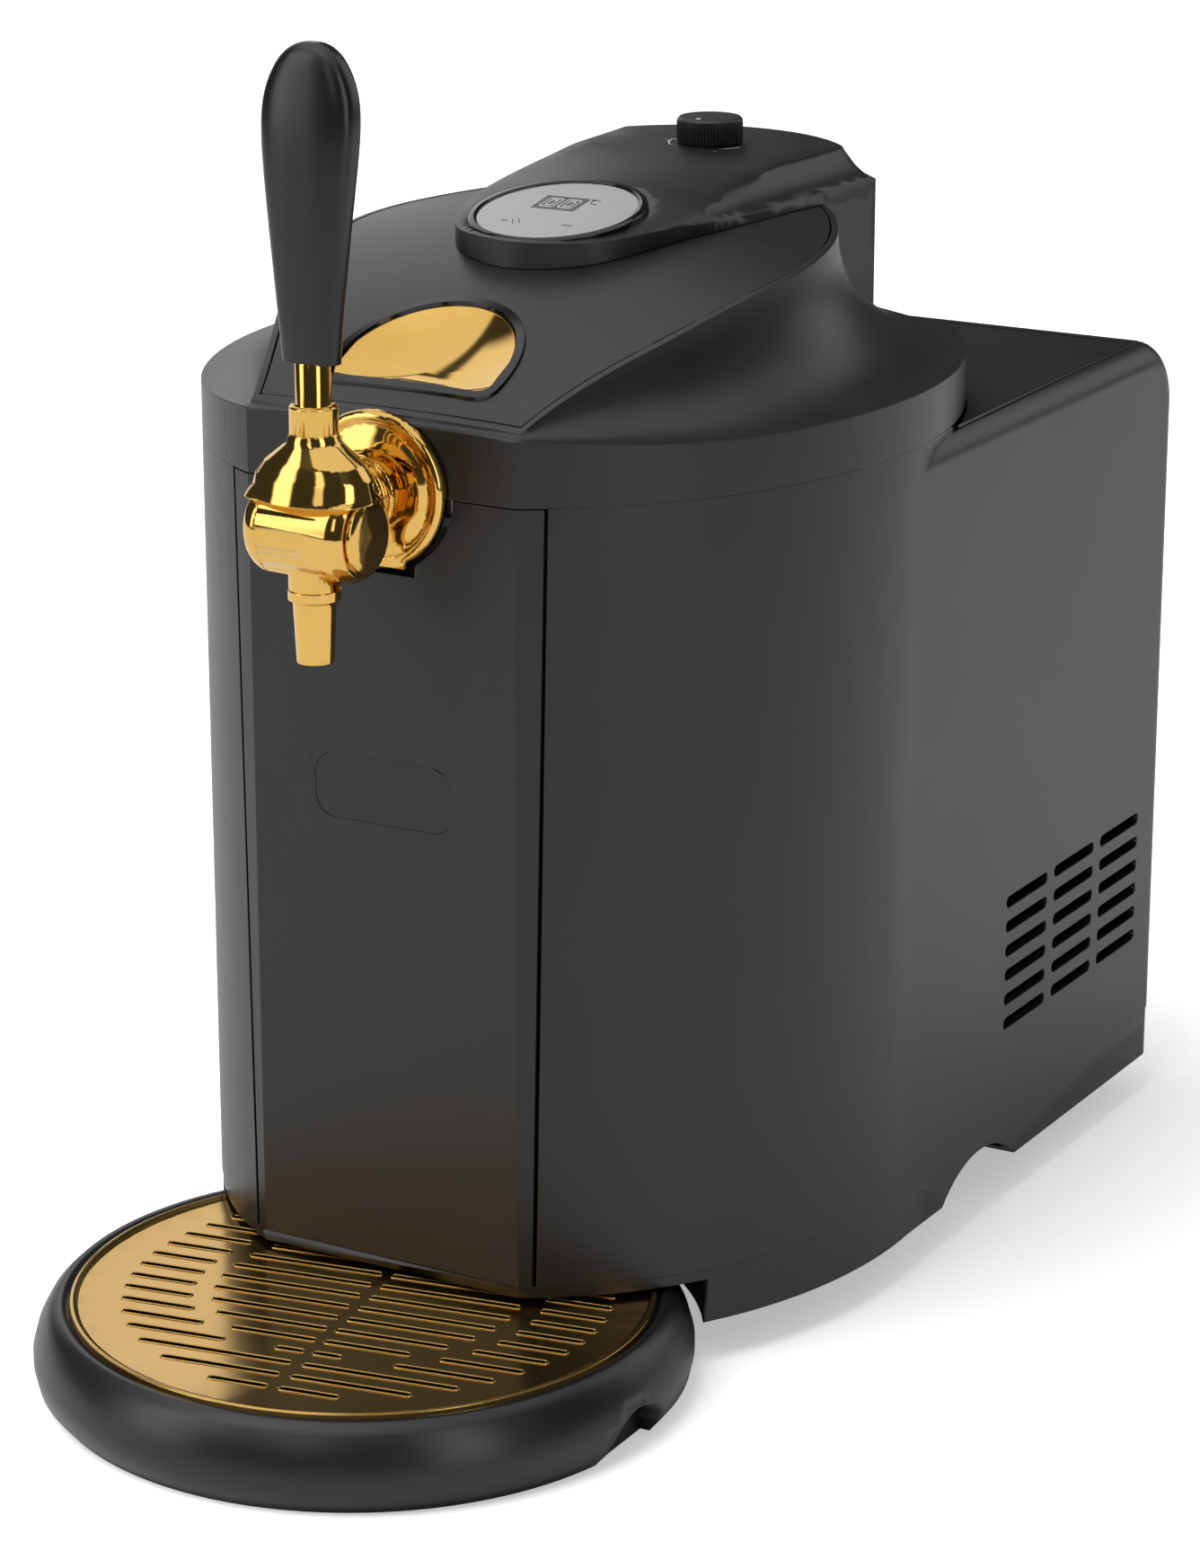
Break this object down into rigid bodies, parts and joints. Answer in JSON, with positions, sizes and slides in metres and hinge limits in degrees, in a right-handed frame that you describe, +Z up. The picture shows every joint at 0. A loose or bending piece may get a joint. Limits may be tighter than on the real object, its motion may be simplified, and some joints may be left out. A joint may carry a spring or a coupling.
{
  "type": "mini keg beer dispenser",
  "caption": "Tabletop cooled dispenser for a small keg, with a black lidded casing, a gold tap with a black lever, and a round drip tray.",
  "frame": {"origin": "on the standing surface, under the middle of the whole object", "axes": "+Z up, -Y towards the user and the tap, +X to the user's right"},
  "size_m": [0.2622, 0.51, 0.462],
  "materials": {
    "black_shell": "satin black moulded ABS, fine spark texture",
    "black_base": "satin black moulded ABS",
    "black_gloss": "polished black ABS",
    "display_glass": null,
    "handle_black": "smooth black lever paddle",
    "gold": "mirror-polished gold-coloured plating",
    "gold_plate": "gold-coloured plated drip plate",
    "aluminium": "drawn and extruded aluminium",
    "steel": "zinc-plated steel",
    "foam": "expanded foam insulation",
    "rubber": "soft black rubber",
    "grey_plastic": "grey moulded nylon",
    "board": "green circuit board",
    "ceramic": "white ceramic module",
    "hose": "food-grade hose"
  },
  "bodies": {
    "root": {"housing_shell": "black_shell", "front_panel": "black_shell", "badge_plate": "black_gloss", "base": "black_base", "rear_cover": "black_shell", "rear_top_plate": "black_shell", "top_deck": "grey_plastic", "keg_chamber": "aluminium", "insulation_jacket": "foam", "cold_block": "aluminium", "thermoelectric_module": "ceramic", "heat_sink": "aluminium", "fan_frame": "black_base", "fan_screws": "steel", "power_supply": "steel", "power_inlet": "black_gloss", "rubber_feet": "rubber", "housing_screws": "steel", "hinge_brackets": "black_base", "hinge_pins": "steel", "tap_body": "gold", "tap_dome": "gold", "tap_flange": "gold", "tap_spout": "gold", "tap_bracket": "steel", "shank_washer": "rubber", "shank_nut": "steel", "beer_socket": "grey_plastic"},
    "lid": {"lid_shell": "black_shell", "lid_panel": "black_shell", "lid_liner": "grey_plastic", "lid_gasket": "rubber", "lid_hinge_arms": "black_base", "spine_cover": "black_shell", "display_ring": "black_gloss", "display_glass": "display_glass", "control_board": "board", "scoop_rim": "black_gloss", "regulator_body": "steel", "cartridge_holder": "grey_plastic", "gas_line": "hose", "coupler_head": "grey_plastic", "coupler_seal": "rubber", "beer_pipe": "hose"},
    "lever": {"lever_yoke": "gold", "lever_stem": "gold", "lever_handle": "handle_black", "valve_plug": "steel", "tap_end_cap": "gold"},
    "pressure_knob": {"pressure_knob": "black_base"},
    "release_button": {"release_button": "gold"},
    "cartridge_cap": {"cartridge_cap": "black_gloss"},
    "drip_tray": {"drip_tray": "black_base", "tray_floor": "black_base"},
    "drip_plate": {"drip_plate": "gold_plate"},
    "fan_rotor": {"fan_rotor": "black_base"}
  },
  "joints": [
    {"name": "lid_hinge", "type": "hinge", "parent": "root", "child": "lid", "pos_m": [0, 0.151, 0.318], "axis": [-1, 0, 0], "range_deg": [0, 75]},
    {"name": "lever_pull", "type": "hinge", "parent": "root", "child": "lever", "pos_m": [0, -0.161, 0.3052], "axis": [1, 0, 0], "range_deg": [0, 45]},
    {"name": "knob_turn", "type": "hinge", "parent": "lid", "child": "pressure_knob", "pos_m": [0, 0.107, 0.3913], "axis": [0, 0, 1], "range_deg": [0, 270]},
    {"name": "button_press", "type": "slide", "parent": "lid", "child": "release_button", "axis": [0, 0, -1], "range_m": [0, 0.003], "stiffness_N_per_m": 300, "springref_m": -0.002},
    {"name": "cap_turn", "type": "hinge", "parent": "lid", "child": "cartridge_cap", "pos_m": [0.045, -0.017, 0.331], "axis": [0, -1, 0], "range_deg": [0, 360]},
    {"name": "tray_slide", "type": "slide", "parent": "root", "child": "drip_tray", "axis": [0, -1, 0], "range_m": [0, 0.15]},
    {"name": "plate_turn", "type": "hinge", "parent": "drip_tray", "child": "drip_plate", "pos_m": [0, -0.141, 0.029], "axis": [0, 0, 1], "continuous": true},
    {"name": "fan_spin", "type": "hinge", "parent": "root", "child": "fan_rotor", "pos_m": [0, 0.196, 0.105], "axis": [0, 1, 0], "continuous": true}
  ]
}
